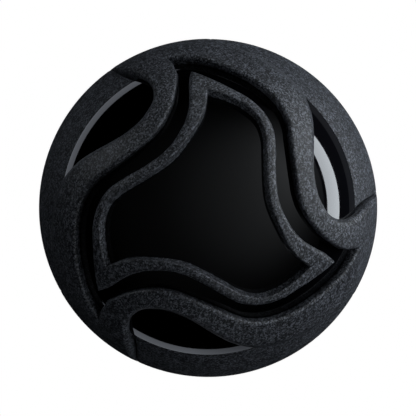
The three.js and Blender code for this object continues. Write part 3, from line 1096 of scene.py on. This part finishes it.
def shell_screws():
    tree = NodeTree("shell_screws", {
        "Shank Radius": ("NodeSocketFloat", 0.8 * MM),
        "Thread Depth": ("NodeSocketFloat", 0.15 * MM),
        "Thread Turns": ("NodeSocketFloat", 9.0),
        "Length": ("NodeSocketFloat", SCREW_LENGTH),
        "Head Radius": ("NodeSocketFloat", 1.85 * MM),
        "Head Height": ("NodeSocketFloat", 1.6 * MM),
        "Socket Radius": ("NodeSocketFloat", 0.75 * MM),
        "Circle Radius": ("NodeSocketFloat", SCREW_CIRCLE),
    })
    length, head_height = tree.input("Length"), tree.input("Head Height")
    shank = tree.node("GeometryNodeMeshCylinder", {
        "Vertices": 24, "Radius": tree.input("Shank Radius"), "Depth": length,
    })
    shank = moved(tree, shank.outputs[0], tree.math("MULTIPLY", length, 0.5))
    head = tree.node("GeometryNodeMeshCylinder", {
        "Vertices": 40, "Radius": tree.input("Head Radius"), "Depth": head_height,
    })
    head = moved(tree, head.outputs[0], tree.math("MULTIPLY", head_height, -0.5))
    socket = tree.node("GeometryNodeMeshCylinder", {
        "Vertices": 6, "Radius": tree.input("Socket Radius"), "Depth": head_height,
    })
    socket = moved(tree, socket.outputs[0], tree.math("MULTIPLY", head_height, -0.9))
    driven = tree.node("GeometryNodeMeshBoolean", {"Mesh 1": head, "Mesh 2": socket})
    thread_height = tree.math("MULTIPLY", length, 0.6)
    path = tree.node("GeometryNodeCurveSpiral", {
        "Resolution": 20, "Rotations": tree.input("Thread Turns"),
        "Start Radius": tree.input("Shank Radius"), "End Radius": tree.input("Shank Radius"),
        "Height": thread_height,
    })
    flank = tree.node("GeometryNodeCurvePrimitiveCircle", {
        "Resolution": 3, "Radius": tree.input("Thread Depth"),
    })
    thread = tree.node("GeometryNodeCurveToMesh", {
        "Curve": path.outputs[0], "Profile Curve": flank.outputs[0], "Fill Caps": True,
    })
    thread = moved(tree, thread.outputs[0], tree.math("MULTIPLY", length, 0.38))
    screw = moved(tree, tree.join(shank, driven.outputs[0], thread), -SCREW_SEAT)
    ring = around_circle(tree, screw, tree.input("Circle Radius"), SCREW_AZIMUTH)
    return tree.finish(ring, steel)


screws = shell_screws()
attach(screws, "root")
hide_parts("shell_screw_1", "shell_screw_2", "shell_screw_3")

# ---------------------------------------------------------------------------------------------
# Threaded inserts: knurled brass bushes pressed into the bosses of the front shell, which take
# the three screws.
INSERT_BASE = 0.4 * MM
INSERT_LENGTH = 4.2 * MM


brass = mottled("rolled_brass", 900, (0.36, 0.22, 0.07), (0.62, 0.42, 0.16), 1.0, (0.35, 0.35))


def threaded_inserts():
    tree = NodeTree("threaded_inserts", {
        "Outer Radius": ("NodeSocketFloat", 1.52 * MM),
        "Bore Radius": ("NodeSocketFloat", 1.25 * MM),
        "Length": ("NodeSocketFloat", INSERT_LENGTH),
        "Knurls": ("NodeSocketInt", 20),
        "Circle Radius": ("NodeSocketFloat", SCREW_CIRCLE),
    })
    length = tree.input("Length")
    body = tree.node("GeometryNodeMeshCylinder", {
        "Vertices": 40, "Radius": tree.input("Outer Radius"), "Depth": length,
    })
    bore = tree.node("GeometryNodeMeshCylinder", {
        "Vertices": 40, "Radius": tree.input("Bore Radius"),
        "Depth": tree.math("MULTIPLY", length, 1.2),
    })
    bush = tree.node("GeometryNodeMeshBoolean", {
        "Mesh 1": body.outputs[0], "Mesh 2": bore.outputs[0],
    })
    spots = tree.node("GeometryNodeMeshCircle", {
        "Vertices": tree.input("Knurls"), "Radius": tree.input("Outer Radius"),
    })
    knurl = tree.node("GeometryNodeMeshCylinder", {
        "Vertices": 6, "Radius": 0.08 * MM, "Depth": tree.math("MULTIPLY", length, 0.8),
    })
    knurls = tree.node("GeometryNodeInstanceOnPoints", {
        "Points": spots.outputs[0], "Instance": knurl.outputs[0],
    })
    insert = tree.join(bush.outputs[0], knurls.outputs[0])
    insert = moved(tree, insert, tree.math("ADD", tree.math("MULTIPLY", length, 0.5), INSERT_BASE))
    ring = around_circle(tree, insert, tree.input("Circle Radius"), SCREW_AZIMUTH)
    return tree.finish(ring, brass)


inserts = threaded_inserts()
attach(inserts, "root")
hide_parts("threaded_insert_1", "threaded_insert_2", "threaded_insert_3")

# ---------------------------------------------------------------------------------------------
# Dowel pins: three ground steel pins with chamfered ends, which keep the two halves in step so
# that the grooves of front and rear webs meet.
DOWEL_RADIUS = 1.25 * MM
DOWEL_LENGTH = 10 * MM
DOWEL_CHAMFER = 0.3 * MM
DOWEL_AZIMUTH = -6.2


def dowel_pins():
    tree = NodeTree("dowel_pins", {
        "Radius": ("NodeSocketFloat", DOWEL_RADIUS),
        "Length": ("NodeSocketFloat", DOWEL_LENGTH),
        "Chamfer": ("NodeSocketFloat", DOWEL_CHAMFER),
        "Circle Radius": ("NodeSocketFloat", SCREW_CIRCLE),
    })
    radius, length, chamfer = (tree.input(k) for k in ("Radius", "Length", "Chamfer"))
    body = tree.node("GeometryNodeMeshCylinder", {
        "Vertices": 32, "Radius": radius,
        "Depth": tree.math("SUBTRACT", length, tree.math("MULTIPLY", chamfer, 2.0)),
    })
    ends = []
    for side in (1, -1):
        cone = tree.node("GeometryNodeMeshCone", {
            "Vertices": 32, "Radius Bottom": radius,
            "Radius Top": tree.math("SUBTRACT", radius, chamfer), "Depth": chamfer,
        })
        lifted = moved(tree, cone.outputs[0], tree.math(
            "SUBTRACT", tree.math("MULTIPLY", length, 0.5), chamfer
        ))
        flipped = tree.node("GeometryNodeTransform", {
            "Geometry": lifted, "Rotation": (0 if side > 0 else math.pi, 0, 0),
        })
        ends.append(flipped.outputs[0])
    pin = tree.join(body.outputs[0], *ends)
    ring = around_circle(tree, pin, tree.input("Circle Radius"), DOWEL_AZIMUTH)
    return tree.finish(ring, steel)


dowels = dowel_pins()
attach(dowels, "root")
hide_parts("dowel_pin_1", "dowel_pin_2", "dowel_pin_3")

# ---------------------------------------------------------------------------------------------
# Seal ring: a rubber cord ring that sits in two half grooves on the parting plane and keeps dust
# and oil out of the core.
SEAL_RADIUS = 30 * MM
SEAL_SECTION = 0.65 * MM


seal_finish = mottled(
    "seal_cord_rubber", 700, (0.008, 0.008, 0.008), (0.03, 0.03, 0.032), 0.0, (0.6, 0.6)
)


def seal_ring():
    tree = NodeTree("seal_ring_cord", {
        "Ring Radius": ("NodeSocketFloat", SEAL_RADIUS),
        "Section Radius": ("NodeSocketFloat", SEAL_SECTION),
    })
    path = tree.node("GeometryNodeCurvePrimitiveCircle", {
        "Resolution": 160, "Radius": tree.input("Ring Radius"),
    })
    section = tree.node("GeometryNodeCurvePrimitiveCircle", {
        "Resolution": 16, "Radius": tree.input("Section Radius"),
    })
    cord = tree.node("GeometryNodeCurveToMesh", {
        "Curve": path.outputs[0], "Profile Curve": section.outputs[0],
    })
    return tree.finish(cord.outputs[0], seal_finish)


seal = seal_ring()
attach(seal, "root")
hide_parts("seal_ring")
